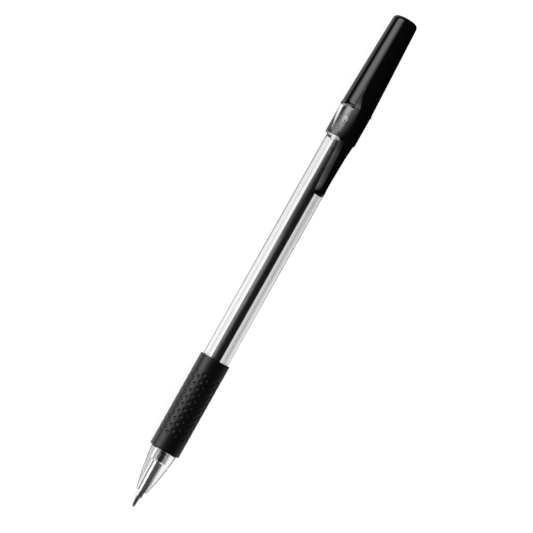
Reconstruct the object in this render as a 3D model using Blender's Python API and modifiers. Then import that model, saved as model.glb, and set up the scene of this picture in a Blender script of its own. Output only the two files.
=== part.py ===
"""A capped ballpoint pen, with its cap posted on the rear end of the barrel.

The pen lies along X, its writing tip at -X and its clip on top. Places along the pen are in
millimetres from the front of the ball, and radii are from the pen's axis.
"""
import math

import bmesh
import bpy
from mathutils import Vector

MM = 0.001

# Clearances between pieces
PUSH_FIT = 0.10
POST_FIT = 0.08
SHANK_FIT = 0.05
TUBE_FIT = 0.15
TUBE_END_PLAY = 0.77
BALL_FIT = 0.03
FACE_GAP = 0.20
HINGE_GAP = 0.30
CLIP_LIFT = 0.30

# Refill: ball, metal point, ink tube and ink
BALL_DIA = 0.80
BALL_PROUD = 0.20
CONE_END = 2.95
CONE_FRONT_DIA = 0.88
CONE_REAR_DIA = 1.48
POINT_DIA = 2.20
POINT_SHOULDER = 3.35
INK_CAPILLARY_DIA = 0.36
INK_CHANNEL_DIA = 1.10
SHANK_LENGTH = 11.70
TAIL_LENGTH = 4.00
TUBE_DIA = 3.00
TUBE_WALL = 0.50
INK_SHORT_OF_TUBE_END = 4.00

# Clear nose cone
NOSE_FRONT = 5.12
NOSE_LENGTH = 13.10
NOSE_FRONT_DIA = 3.30
NOSE_REAR_STEP = 0.07
NOSE_BOW = 0.27
NOSE_SPIGOT_LENGTH = 10.00

# Barrel and rubber grip
BARREL_DIA = 8.00
BARREL_WALL = 1.35
BARREL_LENGTH = 79.25
NECK_STEP = 0.55
NECK_WALL = 0.65
GRIP_LENGTH = 29.85
GRIP_WALL = 1.10
GRIP_ROUNDING = 0.30

# Rear plug in the barrel
PLUG_SPIGOT_LENGTH = 5.70
PLUG_HEAD_LENGTH = 2.10
PLUG_SOCKET_DEPTH = 3.20
PLUG_VENT_DIA = 1.00
PLUG_ROUNDING = 0.30

# Clear liner of the cap: the collar shows in front of the cap's shell
COLLAR_WALL = 0.70
COLLAR_DEPTH = 9.05
COLLAR_CHAMFER = 0.35
LINER_LENGTH = 20.60
LINER_WALL = 0.70
LINER_THINNING = 0.15
LINER_SEAT_LENGTH = 0.60
LINER_SEAT_STEP = 0.32

# Cap shell
CAP_LENGTH = 30.25
CAP_WALL = 0.70
CAP_TAPER = 0.95
CAP_END_WALL = 2.30
CAP_END_ROUNDING = 1.25
CAP_POCKET_WALL = 0.72
LIP_STEP = 0.22
LIP_WIDTH = 0.35
LIP_FADE = 1.55

# Pocket clip
CLIP_REACH = 27.10
CLIP_ROOT_LENGTH = 7.20
CLIP_SKIRT_EDGE = 0.32
CLIP_SKIRT_THICKNESS = 0.12
CLIP_PLATE = 0.62
CLIP_TIP_ROUNDING = 1.30
CLIP_TIP_WIDTH_SHARE = 0.42
CLIP_TIP_LOWERING = 0.45
CLIP_FLANK_BULGE = 0.03
CLIP_RIDGE_RISE = 0.92
CLIP_RAMP_DIP = 0.13
CLIP_MOUTH_DIP = 0.04
CLIP_ROOT_DIP = 0.10
CLIP_MOUTH_RISE_LENGTH = 1.50
CLIP_CROWN_RISE = 0.50
CLIP_FLARE_LENGTH = 7.00
CLIP_TIP_OPENING = 1.05
CLIP_LOWEST_PLACE = 3.50
CLIP_LOWEST_OPENING = 0.68
CLIP_RAMP_OPENING = 0.86
CLIP_MOUTH_DROP = 0.12
CLIP_RAMP_LENGTH = 3.75
CLIP_BEAD_PLACE = 2.20
CLIP_BEAD_WIDTH = 1.20
CLIP_HOLLOW_DEPTH = 0.25
CLIP_HOLLOW_SQUARENESS = 1.4
ROOT_PROUD = 0.03
ROOT_BURIED = 0.20
ROOT_EDGE_FADE = 2
ROOT_RIDGE_FADE = 2.4
ROOT_RIDGE_SPREAD = 0.85
HINGE_OVER_COLLAR = 0.62

# Half angles of the clip at the pen's axis, in degrees: at the tip, the flare's end, before and after
# the collar's mouth, and at the root
SKIRT_ANGLES = (23, 26.5, 33, 39.8, 40.6)
RIDGE_ANGLES = (7.5, 8.2, 14.4, 15.2, 22)

SIDES = 48
INNER_SIDES = 32
POINT_SIDES = 24
SHARP_ANGLE = math.radians(34)

# Radii that follow from the sizes above
BALL_R = BALL_DIA / 2
SOCKET_R = BALL_R + BALL_FIT
POINT_R = POINT_DIA / 2
TUBE_R = TUBE_DIA / 2
TUBE_BORE_R = TUBE_R - TUBE_WALL
BARREL_R = BARREL_DIA / 2
BARREL_BORE_R = BARREL_R - BARREL_WALL
NECK_R = BARREL_R - NECK_STEP
NECK_BORE_R = NECK_R - NECK_WALL
GRIP_BORE_R = NECK_R + PUSH_FIT
GRIP_R = GRIP_BORE_R + GRIP_WALL
NOSE_SPIGOT_R = NECK_BORE_R - PUSH_FIT
NOSE_SPIGOT_BORE_R = TUBE_R + TUBE_FIT
NOSE_REAR_R = BARREL_R - NOSE_REAR_STEP
PLUG_SPIGOT_R = BARREL_BORE_R - PUSH_FIT
COLLAR_BORE_R = BARREL_R + POST_FIT
COLLAR_R = COLLAR_BORE_R + COLLAR_WALL
LINER_R = BARREL_R
LINER_SEAT_R = COLLAR_BORE_R + LINER_SEAT_STEP
LIP_R = COLLAR_R + LIP_STEP
CAP_BORE_R = LINER_R + PUSH_FIT
CAP_MOUTH_R = CAP_BORE_R + CAP_WALL
CAP_END_R = CAP_MOUTH_R - CAP_TAPER
CAP_POCKET_R = CAP_END_R - CAP_POCKET_WALL
CLIP_RIDGE_R = COLLAR_R + CLIP_RIDGE_RISE

# Places along the pen, each from the piece that it meets
SHANK_END = POINT_SHOULDER + SHANK_LENGTH
TUBE_FRONT = SHANK_END + FACE_GAP
NOSE_END = NOSE_FRONT + NOSE_LENGTH
NOSE_STEP = TUBE_FRONT - FACE_GAP
GRIP_FRONT = NOSE_END + FACE_GAP
GRIP_END = GRIP_FRONT + GRIP_LENGTH
NECK_FRONT = NOSE_END + FACE_GAP
NECK_END = GRIP_END + FACE_GAP
BARREL_END = NECK_END + BARREL_LENGTH
PLUG_HEAD = BARREL_END + FACE_GAP
PLUG_FRONT = PLUG_HEAD - PLUG_SPIGOT_LENGTH
PLUG_END = PLUG_HEAD + PLUG_HEAD_LENGTH
PLUG_SOCKET_END = PLUG_FRONT + PLUG_SOCKET_DEPTH
TUBE_END = PLUG_SOCKET_END - TUBE_END_PLAY
CAP_STOP = PLUG_END + FACE_GAP
CAP_MOUTH = CAP_STOP - COLLAR_DEPTH
LINER_END = CAP_MOUTH + LINER_LENGTH
COLLAR_END = CAP_STOP + FACE_GAP
LIP_FRONT = COLLAR_END + FACE_GAP
CAP_END = LIP_FRONT + CAP_LENGTH
TAPER_FRONT = LIP_FRONT + LIP_WIDTH + LIP_FADE
TAPER_END = CAP_END - CAP_END_ROUNDING
CAP_DRAFT = (CAP_MOUTH_R - CAP_END_R) / (TAPER_END - TAPER_FRONT)
ROOT_FRONT = LIP_FRONT + 0.10
ROOT_END = LIP_FRONT + CLIP_ROOT_LENGTH
CLIP_END = ROOT_FRONT - HINGE_GAP
CLIP_TIP = LIP_FRONT - CLIP_REACH
CLIP_FLARE_END = CLIP_TIP + CLIP_FLARE_LENGTH
CLIP_STEP = CAP_MOUTH - CLIP_LIFT
CLIP_RAMP_FRONT = CLIP_STEP - CLIP_RAMP_LENGTH
HINGE_PLACE = CLIP_END + HINGE_GAP / 2
HINGE_HEIGHT = COLLAR_R + HINGE_OVER_COLLAR


def arc(centre_x, centre_r, radius, start, end, steps):
    """Points (x, r) on an arc, its angles in degrees from +x towards +r."""
    points = []
    for i in range(steps + 1):
        angle = math.radians(start + (end - start) * i / steps)
        points.append((centre_x + radius * math.cos(angle), centre_r + radius * math.sin(angle)))
    return points


def bowed(start, end, bow, steps):
    """Points of a shallow bulge between two points (x, r)."""
    points = []
    for i in range(steps + 1):
        f = i / steps
        rise = 4 * bow * f * (1 - f)
        points.append((start[0] + (end[0] - start[0]) * f, start[1] + (end[1] - start[1]) * f + rise))
    return points


def between(knots, x):
    """A value at x, on straight lines from each knot (place, value) to the next."""
    if x <= knots[0][0]:
        return knots[0][1]
    for (x0, v0), (x1, v1) in zip(knots, knots[1:]):
        if x <= x1:
            return v0 + (v1 - v0) * (x - x0) / (x1 - x0)
    return knots[-1][1]


def material(name, colour, roughness, metallic=0.0, transmission=0.0):
    made = bpy.data.materials.new(name)
    made.use_nodes = True
    shader = made.node_tree.nodes["Principled BSDF"]
    shader.inputs["Base Color"].default_value = (*colour, 1.0)
    shader.inputs["Roughness"].default_value = roughness
    shader.inputs["Metallic"].default_value = metallic
    shader.inputs["Transmission Weight"].default_value = transmission
    made.diffuse_color = (*colour, 1.0)
    return made


def collection(name):
    made = bpy.data.collections.new(name)
    bpy.context.scene.collection.children.link(made)
    return made


def empty(name, place, height, parent=None):
    """An empty on the pen, at a place along it and a height over its axis."""
    made = bpy.data.objects.new(name, None)
    made.empty_display_size = 2 * MM
    parts.objects.link(made)
    made["place"] = place
    made["height"] = height
    if parent is None:
        made.location = (-CAP_END / 2 * MM, 0, LIP_R * MM)
    else:
        made.parent = parent
        made.location = ((place - parent["place"]) * MM, 0, (height - parent["height"]) * MM)
    return made


def freeze(obj, angle=SHARP_ANGLE):
    """Keep the modified shape as the object's own mesh, shaded smooth up to its sharp edges."""
    graph = bpy.context.evaluated_depsgraph_get()
    shaped = bpy.data.meshes.new_from_object(obj.evaluated_get(graph))
    old = obj.data
    obj.modifiers.clear()
    obj.data = shaped
    bpy.data.meshes.remove(old)
    shaped.name = obj.name
    shaped.shade_smooth()
    shaped.set_sharp_from_angle(angle=angle)
    return obj


def turned(name, outline, parent, finish, sides=SIDES, closed=True):
    """A turned piece: its outline (x, r) runs forward along the outside and back along the bore."""
    mesh = bpy.data.meshes.new(name)
    count = len(outline)
    edges = [(i, i + 1) for i in range(count - 1)]
    if closed:
        edges.append((count - 1, 0))
    mesh.from_pydata([(r * MM, 0, x * MM) for x, r in outline], edges, [])
    obj = bpy.data.objects.new(name, mesh)
    parts.objects.link(obj)
    screw = obj.modifiers.new("turn", "SCREW")
    screw.axis = "Z"
    screw.steps = sides
    screw.render_steps = sides
    screw.use_merge_vertices = True
    screw.merge_threshold = 0.000002
    freeze(obj)
    obj.data.materials.append(finish)
    obj.parent = parent
    obj.rotation_euler = (0, math.pi / 2, 0)
    obj.location = (-parent["place"] * MM, 0, -parent["height"] * MM)
    return obj


def half_loft(name, sections, parent, finish):
    """A mirrored loft: each section (x, points) is a half outline (y, z) from top to underside."""
    bm = bmesh.new()
    rings = []
    for x, points in sections:
        rings.append([
            bm.verts.new(Vector((x - parent["place"], y, z - parent["height"])) * MM) for y, z in points
        ])
    for ring, following in zip(rings, rings[1:]):
        for i in range(len(ring) - 1):
            bm.faces.new((ring[i], following[i], following[i + 1], ring[i + 1]))
    bm.faces.new(rings[0])
    bm.faces.new(list(reversed(rings[-1])))
    mesh = bpy.data.meshes.new(name)
    bm.to_mesh(mesh)
    bm.free()
    obj = bpy.data.objects.new(name, mesh)
    parts.objects.link(obj)
    obj.data.materials.append(finish)
    mirror = obj.modifiers.new("other half", "MIRROR")
    mirror.use_axis = (False, True, False)
    mirror.merge_threshold = 0.000002
    obj.parent = parent
    return obj


def make_ball():
    """The writing ball, on its own centre."""
    bm = bmesh.new()
    bmesh.ops.create_uvsphere(bm, u_segments=16, v_segments=10, radius=BALL_R * MM)
    mesh = bpy.data.meshes.new("tip_ball")
    bm.to_mesh(mesh)
    bm.free()
    mesh.materials.append(carbide)
    mesh.shade_smooth()
    obj = bpy.data.objects.new("tip_ball", mesh)
    parts.objects.link(obj)
    centre = empty("ball_centre", BALL_R, 0, pen_axis)
    obj.parent = centre


def make_point():
    """The metal point: socket and ink channel inside, cone and shank outside, tail in the tube."""
    capillary = INK_CAPILLARY_DIA / 2
    channel = INK_CHANNEL_DIA / 2
    tail_r = TUBE_BORE_R - SHANK_FIT
    lip = BALL_PROUD
    lip_bore = math.sqrt(SOCKET_R ** 2 - (BALL_R - lip) ** 2)
    lip_angle = math.degrees(math.atan2(lip_bore, lip - BALL_R))
    floor_angle = math.degrees(math.asin(capillary / SOCKET_R))
    tail_end = SHANK_END + TAIL_LENGTH
    lead, lead_length = 0.15, 0.40
    outline = [(tail_end, tail_r - lead), (tail_end - lead_length, tail_r)]
    outline += [(SHANK_END, tail_r), (SHANK_END, POINT_R)]
    outline += [(POINT_SHOULDER, POINT_R), (POINT_SHOULDER - 0.15, POINT_R - 0.06)]
    outline += [(CONE_END, CONE_REAR_DIA / 2), (lip + 0.35, CONE_FRONT_DIA / 2 + 0.04)]
    outline += [(lip, CONE_FRONT_DIA / 2)]
    outline += arc(BALL_R, 0, SOCKET_R, lip_angle, floor_angle, 6)
    outline += [(POINT_SHOULDER - 0.1, capillary), (POINT_SHOULDER + 0.5, channel)]
    outline += [(tail_end, channel)]
    turned("point_body", outline, pen_axis, nickel_silver, POINT_SIDES)


def make_ink_tube():
    outline = [(TUBE_END, TUBE_R), (TUBE_FRONT, TUBE_R), (TUBE_FRONT, TUBE_BORE_R), (TUBE_END, TUBE_BORE_R)]
    turned("ink_tube", outline, pen_axis, smoky_plastic, POINT_SIDES)


def make_ink():
    radius = TUBE_BORE_R - SHANK_FIT
    front = SHANK_END + TAIL_LENGTH + FACE_GAP
    end = TUBE_END - INK_SHORT_OF_TUBE_END
    outline = [(end, 0), (end, radius), (front, radius), (front, 0)]
    turned("ink_column", outline, pen_axis, black_ink, POINT_SIDES, closed=False)


def make_nose():
    """The clear nose: a bowed cone outside, a stepped bore for the point and the tube inside."""
    front_r = NOSE_FRONT_DIA / 2
    edge = 0.15
    point_bore = POINT_R + PUSH_FIT
    outline = [(NOSE_END + NOSE_SPIGOT_LENGTH, NOSE_SPIGOT_R - edge)]
    outline += [(NOSE_END + NOSE_SPIGOT_LENGTH - edge, NOSE_SPIGOT_R), (NOSE_END, NOSE_SPIGOT_R)]
    outline += arc(NOSE_END - edge, NOSE_REAR_R - edge, edge, 0, 90, 3)
    rear, front = (NOSE_END - 2 * edge, NOSE_REAR_R - 0.01), (NOSE_FRONT + edge, front_r + edge / 3)
    outline += bowed(rear, front, NOSE_BOW, 9)
    outline += [(NOSE_FRONT, front_r - 0.05), (NOSE_FRONT, point_bore)]
    outline += [(NOSE_STEP - 0.3, point_bore), (NOSE_STEP, NOSE_SPIGOT_BORE_R)]
    outline += [(NOSE_END + NOSE_SPIGOT_LENGTH, NOSE_SPIGOT_BORE_R)]
    turned("nose_cone", outline, pen_axis, clear_plastic)


def make_grip():
    """The rubber sleeve, held between the nose and the step of the barrel."""
    inner = GRIP_R - GRIP_ROUNDING
    outline = [(GRIP_END, GRIP_BORE_R)]
    outline += arc(GRIP_END - GRIP_ROUNDING, inner, GRIP_ROUNDING, 0, 90, 3)
    outline += arc(GRIP_FRONT + GRIP_ROUNDING, inner, GRIP_ROUNDING, 90, 180, 3)
    outline += [(GRIP_FRONT, GRIP_BORE_R)]
    turned("grip_sleeve", outline, pen_axis, black_rubber)


def make_barrel():
    """The clear barrel, with a thinner neck under the grip."""
    edge = 0.12
    outline = [(BARREL_END, BARREL_R - edge), (BARREL_END - edge, BARREL_R)]
    outline += [(NECK_END + edge, BARREL_R), (NECK_END, BARREL_R - edge), (NECK_END, NECK_R)]
    outline += [(NECK_FRONT + edge, NECK_R), (NECK_FRONT, NECK_R - edge), (NECK_FRONT, NECK_BORE_R)]
    outline += [(NECK_END + 0.5, NECK_BORE_R), (NECK_END + 2.5, BARREL_BORE_R), (BARREL_END, BARREL_BORE_R)]
    turned("barrel", outline, pen_axis, clear_plastic)


def make_plug():
    """The rear plug: a spigot in the bore, a socket that centres the ink tube, a head and a vent."""
    socket_r = TUBE_R + PUSH_FIT
    lead = 0.3
    outline = [(PLUG_END, PLUG_VENT_DIA / 2)]
    outline += arc(PLUG_END - PLUG_ROUNDING, BARREL_R - PLUG_ROUNDING, PLUG_ROUNDING, 0, 90, 3)
    outline += [(PLUG_HEAD, BARREL_R), (PLUG_HEAD, PLUG_SPIGOT_R)]
    outline += [(PLUG_FRONT + lead, PLUG_SPIGOT_R), (PLUG_FRONT, PLUG_SPIGOT_R - lead)]
    outline += [(PLUG_FRONT, socket_r), (PLUG_SOCKET_END, socket_r), (PLUG_SOCKET_END, PLUG_VENT_DIA / 2)]
    turned("rear_plug", outline, pen_axis, black_plastic, INNER_SIDES)


def make_liner():
    """The clear liner: a collar that takes the barrel, a stop, and a sleeve inside the shell."""
    liner_end_r = LINER_R - CAP_DRAFT * (LINER_END - LIP_FRONT)
    bore_r = LINER_R - LINER_WALL
    lead = 0.22
    outline = [(LINER_END, liner_end_r)]
    outline += [(COLLAR_END + LINER_SEAT_LENGTH + 0.4, LINER_R)]
    outline += [(COLLAR_END + LINER_SEAT_LENGTH, LINER_SEAT_R), (COLLAR_END, LINER_SEAT_R)]
    outline += [(COLLAR_END, COLLAR_R), (CAP_MOUTH + COLLAR_CHAMFER, COLLAR_R)]
    outline += [(CAP_MOUTH, COLLAR_R - COLLAR_CHAMFER), (CAP_MOUTH, COLLAR_BORE_R + lead)]
    outline += [(CAP_MOUTH + 2 * lead, COLLAR_BORE_R), (CAP_STOP, COLLAR_BORE_R), (CAP_STOP, bore_r)]
    outline += [(LINER_END, liner_end_r - LINER_WALL + LINER_THINNING)]
    turned("cap_liner", outline, cap_axis, clear_plastic)


def shell_radius(x):
    """Outer radius of the cap's shell: a beaded lip that fades into a straight draft."""
    if x <= LIP_FRONT + LIP_WIDTH:
        return LIP_R
    if x <= TAPER_FRONT:
        left = (TAPER_FRONT - x) / LIP_FADE
        return CAP_MOUTH_R + (LIP_R - CAP_MOUTH_R) * left ** 3
    return CAP_MOUTH_R - CAP_DRAFT * (x - TAPER_FRONT)


def polar(radius, degrees):
    """The point (y, z) at a radius from the pen's axis and an angle from straight up."""
    angle = math.radians(degrees)
    return Vector((radius * math.sin(angle), radius * math.cos(angle)))


def clip_curve(edge, ridge, ridge_r):
    """Outer half curve of the clip: a crowned top, a ridge and a slightly full flank down to its edge."""
    rise = CLIP_CROWN_RISE * (ridge_r - ridge.y)
    flank = edge - ridge
    pull = (edge + ridge) / 2 + Vector((-flank.y, flank.x)).normalized() * CLIP_FLANK_BULGE
    halfway = 0.55
    points = [(0, ridge.y + rise), (ridge.x * halfway, ridge.y + rise * (1 - halfway ** 2)), tuple(ridge)]
    steps = 5
    for i in range(1, steps + 1):
        f = i / steps
        point = ridge * (1 - f) ** 2 + pull * (2 * f * (1 - f)) + edge * f ** 2
        points.append(tuple(point))
    return points


def clip_shape(x):
    """Skirt edge, ridge, the ridge's radius and the underside's height of the clip at a place x."""
    over_barrel = BARREL_R + CLIP_LIFT
    over_collar = COLLAR_R + CLIP_LIFT
    just_before = CLIP_STEP - CLIP_LIFT / 2
    just_after = CLIP_STEP + CLIP_LIFT
    stations = (CLIP_TIP, CLIP_FLARE_END, just_before, just_after, LIP_FRONT)
    edge_r = [(CLIP_TIP, BARREL_R + CLIP_TIP_OPENING)]
    edge_r += [(CLIP_TIP + CLIP_LOWEST_PLACE, BARREL_R + CLIP_LOWEST_OPENING)]
    edge_r += [(CLIP_RAMP_FRONT, BARREL_R + CLIP_RAMP_OPENING)]
    edge_r += [(just_before, over_collar - CLIP_MOUTH_DROP), (just_after, over_collar)]
    ridge_r = [(CLIP_TIP, CLIP_RIDGE_R), (CLIP_RAMP_FRONT, CLIP_RIDGE_R - CLIP_RAMP_DIP)]
    ridge_r += [(CAP_MOUTH + CLIP_MOUTH_RISE_LENGTH, CLIP_RIDGE_R - CLIP_MOUTH_DIP)]
    ridge_r += [(LIP_FRONT, CLIP_RIDGE_R - CLIP_ROOT_DIP)]
    bead = CLIP_TIP + CLIP_BEAD_PLACE
    hollow = CLIP_RIDGE_R - CLIP_PLATE - CLIP_HOLLOW_DEPTH
    under = [(CLIP_TIP, over_barrel + CLIP_LIFT), (bead - CLIP_BEAD_WIDTH / 2, over_barrel)]
    under += [(bead + CLIP_BEAD_WIDTH / 2, over_barrel), (bead + 1.5 * CLIP_BEAD_WIDTH, hollow)]
    under += [(CLIP_RAMP_FRONT, hollow), (just_before, over_collar)]
    edge = polar(between(edge_r, x), between(list(zip(stations, SKIRT_ANGLES)), x))
    ridge = polar(between(ridge_r, x), between(list(zip(stations, RIDGE_ANGLES)), x))
    return edge, ridge, between(ridge_r, x), between(under, x)


def clip_section(x, narrowing=1.0, lowering=0.0):
    """Half outline of the clip at x: its outer curve, skirt edge and hollow underside."""
    edge, ridge, ridge_r, under = clip_shape(x)
    points = clip_curve(edge, ridge, ridge_r)
    points = [(y * narrowing, z - lowering * max(0, z - under) / (ridge_r - under)) for y, z in points]
    inner_y = points[-1][0] - CLIP_SKIRT_EDGE * narrowing
    inner_r = Vector(points[-1]).length - CLIP_SKIRT_THICKNESS
    inner_z = math.sqrt(inner_r ** 2 - inner_y ** 2)
    for i in range(4, -1, -1):
        turn = math.radians(90 * i / 4)
        across = math.sin(turn) ** CLIP_HOLLOW_SQUARENESS
        upward = max(0, math.cos(turn)) ** CLIP_HOLLOW_SQUARENESS
        points.append((inner_y * across, inner_z + (under - inner_z) * upward))
    return x, points


def make_clip():
    """The pocket clip, from its rounded tip to the line where it bends from the cap."""
    sections = []
    for angle in (8, 30, 55):
        turn = math.radians(angle)
        x = CLIP_TIP + CLIP_TIP_ROUNDING * (1 - math.cos(turn))
        narrowing = CLIP_TIP_WIDTH_SHARE + (1 - CLIP_TIP_WIDTH_SHARE) * math.sin(turn)
        sections.append(clip_section(x, narrowing, CLIP_TIP_LOWERING * math.cos(turn) ** 2))
    bead = CLIP_TIP + CLIP_BEAD_PLACE
    places = [CLIP_TIP + CLIP_TIP_ROUNDING]
    places += [bead + CLIP_BEAD_WIDTH * f for f in (-0.25, 0.5, 1.5)]
    places += [CLIP_FLARE_END, (CLIP_FLARE_END + CLIP_RAMP_FRONT) / 2, CLIP_RAMP_FRONT]
    places += [CLIP_STEP - CLIP_LIFT / 2]
    after = CLIP_STEP + CLIP_LIFT
    places += [after + (CLIP_END - after) * i / 3 for i in range(4)]
    sections += [clip_section(x) for x in places]
    clip = half_loft("pocket_clip", sections, clip_hinge, black_plastic)
    freeze(clip, math.radians(28))


def root_section(x):
    """Half outline of the clip's root on the shell, its lower side buried in the shell's wall."""
    f = (x - LIP_FRONT) / CLIP_ROOT_LENGTH
    surface = shell_radius(x)
    edge, ridge, ridge_r, _ = clip_shape(LIP_FRONT)
    edge_angle, ridge_angle = SKIRT_ANGLES[-1], RIDGE_ANGLES[-1]
    proud = surface + ROOT_PROUD
    edge = polar(proud + (edge.length - proud) * max(0, 1 - ROOT_EDGE_FADE * f), edge_angle)
    ridge_r = surface + (ridge_r - surface) * max(0, 1 - f) ** ROOT_RIDGE_FADE
    ridge = polar(ridge_r, ridge_angle + (edge_angle - ridge_angle) * f * ROOT_RIDGE_SPREAD)
    points = clip_curve(edge, ridge, ridge_r)
    points += [tuple(polar(surface - ROOT_BURIED, edge_angle * (1 - i / 4))) for i in range(5)]
    return x, points


def make_shell():
    """The cap's shell: a drafted cup with a beaded lip, joined to the root of the clip."""
    cavity_end = CAP_END - CAP_END_WALL
    liner_seat = LINER_END + FACE_GAP
    liner_seat_r = CAP_BORE_R - CAP_DRAFT * (liner_seat - LIP_FRONT)
    mouth_bore = LINER_SEAT_R + PUSH_FIT
    step_end = COLLAR_END + LINER_SEAT_LENGTH + PUSH_FIT
    edge = 0.1
    outline = [(CAP_END, 0)]
    outline += arc(TAPER_END, CAP_END_R - CAP_END_ROUNDING, CAP_END_ROUNDING, 0, 84, 5)
    fade = [TAPER_FRONT - LIP_FADE * f for f in (0.3, 0.58, 0.84, 1)]
    outline += [(x, shell_radius(x)) for x in (TAPER_END - 0.5, TAPER_FRONT, *fade)]
    outline += [(LIP_FRONT + edge, LIP_R), (LIP_FRONT, LIP_R - edge)]
    outline += [(LIP_FRONT, mouth_bore), (step_end, mouth_bore), (step_end + 0.4, CAP_BORE_R)]
    outline += [(liner_seat, liner_seat_r), (liner_seat, CAP_POCKET_R + edge)]
    outline += [(cavity_end - 0.3, CAP_POCKET_R), (cavity_end, CAP_POCKET_R - 0.3), (cavity_end, 0)]
    shell = turned("cap_shell", outline, cap_axis, black_plastic, closed=False)
    places = [ROOT_FRONT + (ROOT_END - ROOT_FRONT) * i / 6 for i in range(7)]
    root = half_loft("clip_root", [root_section(x) for x in places], cap_axis, black_plastic)
    parts.objects.unlink(root)
    cutters.objects.link(root)
    root.hide_render = True
    root.display_type = "WIRE"
    joined = shell.modifiers.new("clip root", "BOOLEAN")
    joined.operation = "UNION"
    joined.solver = "MANIFOLD"
    joined.object = root
    freeze(shell)


for old in list(bpy.data.objects):
    bpy.data.objects.remove(old, do_unlink=True)
parts = collection("ballpoint_pen")
cutters = collection("cutters")

clear_plastic = material("clear_plastic", (0.90, 0.91, 0.91), 0.06, transmission=0.9)
smoky_plastic = material("smoky_plastic", (0.22, 0.22, 0.23), 0.20, transmission=0.4)
black_plastic = material("black_plastic", (0.012, 0.012, 0.014), 0.18)
black_rubber = material("black_rubber", (0.022, 0.022, 0.024), 0.62)
black_ink = material("black_ink", (0.008, 0.008, 0.012), 0.30)
nickel_silver = material("nickel_silver", (0.62, 0.59, 0.54), 0.22, metallic=1.0)
carbide = material("carbide", (0.34, 0.34, 0.35), 0.15, metallic=1.0)

pen_axis = empty("pen_axis", 0, 0)
cap_axis = empty("cap_axis", CAP_MOUTH, 0, pen_axis)
clip_hinge = empty("clip_hinge", HINGE_PLACE, HINGE_HEIGHT, cap_axis)

make_ball()
make_point()
make_ink_tube()
make_ink()
make_nose()
make_grip()
make_barrel()
make_plug()
make_liner()
make_shell()
make_clip()
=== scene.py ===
"""A capped stick pen with a clear barrel, dressed over its construction model.

The pen lies along X with its writing tip at -X and its clip on top. Sizes and places are in
millimetres: places run along X from the middle of the pen, radii run from the pen's axis.
"""

import math

import bmesh
import bpy
import numpy as np
from mathutils import Matrix, Vector


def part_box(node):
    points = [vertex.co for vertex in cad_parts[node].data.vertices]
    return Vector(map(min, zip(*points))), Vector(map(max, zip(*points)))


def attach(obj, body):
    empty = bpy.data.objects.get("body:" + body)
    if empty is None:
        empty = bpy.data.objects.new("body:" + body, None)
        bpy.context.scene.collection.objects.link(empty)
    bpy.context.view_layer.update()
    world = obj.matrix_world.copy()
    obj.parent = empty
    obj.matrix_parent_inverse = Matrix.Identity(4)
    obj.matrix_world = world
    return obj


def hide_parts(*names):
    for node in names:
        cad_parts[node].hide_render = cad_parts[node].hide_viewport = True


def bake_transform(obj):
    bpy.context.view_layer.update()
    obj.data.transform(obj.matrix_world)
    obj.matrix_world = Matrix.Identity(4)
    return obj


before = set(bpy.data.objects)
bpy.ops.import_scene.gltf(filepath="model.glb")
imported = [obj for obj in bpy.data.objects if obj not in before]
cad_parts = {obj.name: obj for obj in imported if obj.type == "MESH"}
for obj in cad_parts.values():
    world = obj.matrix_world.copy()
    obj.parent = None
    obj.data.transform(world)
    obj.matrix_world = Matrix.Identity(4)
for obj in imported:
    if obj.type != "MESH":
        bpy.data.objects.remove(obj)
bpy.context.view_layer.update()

MM = 0.001


def span(node):
    """First and last place of a node along the pen."""
    low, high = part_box(node)
    return low.x / MM, high.x / MM


def radius(node):
    """Largest radius of a turned node."""
    low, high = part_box(node)
    return (high.y - low.y) / 2 / MM


# Places and radii that the construction model gives
NOSE_FRONT, SPIGOT_END = span("nose_cone")
NECK_FRONT, BARREL_END = span("barrel")
GRIP_FRONT, GRIP_END = span("grip_sleeve")
TUBE_FRONT, TUBE_END = span("ink_tube")
INK_FRONT, INK_END = span("ink_column")
CONE_FRONT, TAIL_END = span("point_body")
PLUG_FRONT, PLUG_END = span("rear_plug")
CAP_MOUTH, LINER_END = span("cap_liner")
LIP_FRONT, CAP_END = span("cap_shell")
CLIP_TIP = span("pocket_clip")[0]
BARREL_R = radius("barrel")
GRIP_R = radius("grip_sleeve")
TUBE_R = radius("ink_tube")
INK_R = radius("ink_column")
SHANK_R = radius("point_body")
BALL_R = radius("tip_ball")
COLLAR_R = radius("cap_liner")
LIP_R = radius("cap_shell")
AXIS_HEIGHT = (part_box("barrel")[0].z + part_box("barrel")[1].z) / 2 / MM

# Sizes inside the pieces, those of the point from the front of its cone
FACE_GAP = 0.20
BARREL_WALL = 1.35
NECK_WALL = 0.65
NECK_STEP = 0.55
NOSE_LENGTH = 13.10
NOSE_FRONT_R = 1.65
NOSE_REAR_R = 3.93
NOSE_BOW = 0.27
SPIGOT_R = 2.70
SPIGOT_BORE_R = 1.65
POINT_BORE_R = 1.20
GRIP_BORE_R = 3.55
BALL_PROUD = 0.20
CONE_END = 2.75
POINT_SHOULDER = 3.15
SHANK_END = 14.85
CHANNEL_R = 0.55
TUBE_BORE_R = 1.00
PLUG_HEAD_LENGTH = 2.10
PLUG_SPIGOT_R = 2.55
PLUG_SOCKET_DEPTH = 3.20
PLUG_SOCKET_GAP = 0.10
VENT_R = 0.50
COLLAR_BORE_R = 4.08
COLLAR_DEPTH = 9.05
COLLAR_LENGTH = 9.25
LINER_R = 4.00
LINER_WALL = 0.70
SEAT_R = 4.40
SEAT_GAP = 0.10
CAP_MOUTH_R = 4.80
CAP_END_R = 3.85
CAP_BORE_R = 4.10
CAP_POCKET_R = 3.13
CAP_END_WALL = 2.30
CAP_END_ROUNDING = 1.25
LIP_WIDTH = 0.35
LIP_FADE = 1.55
CLIP_ROOT_LENGTH = 7.20

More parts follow.
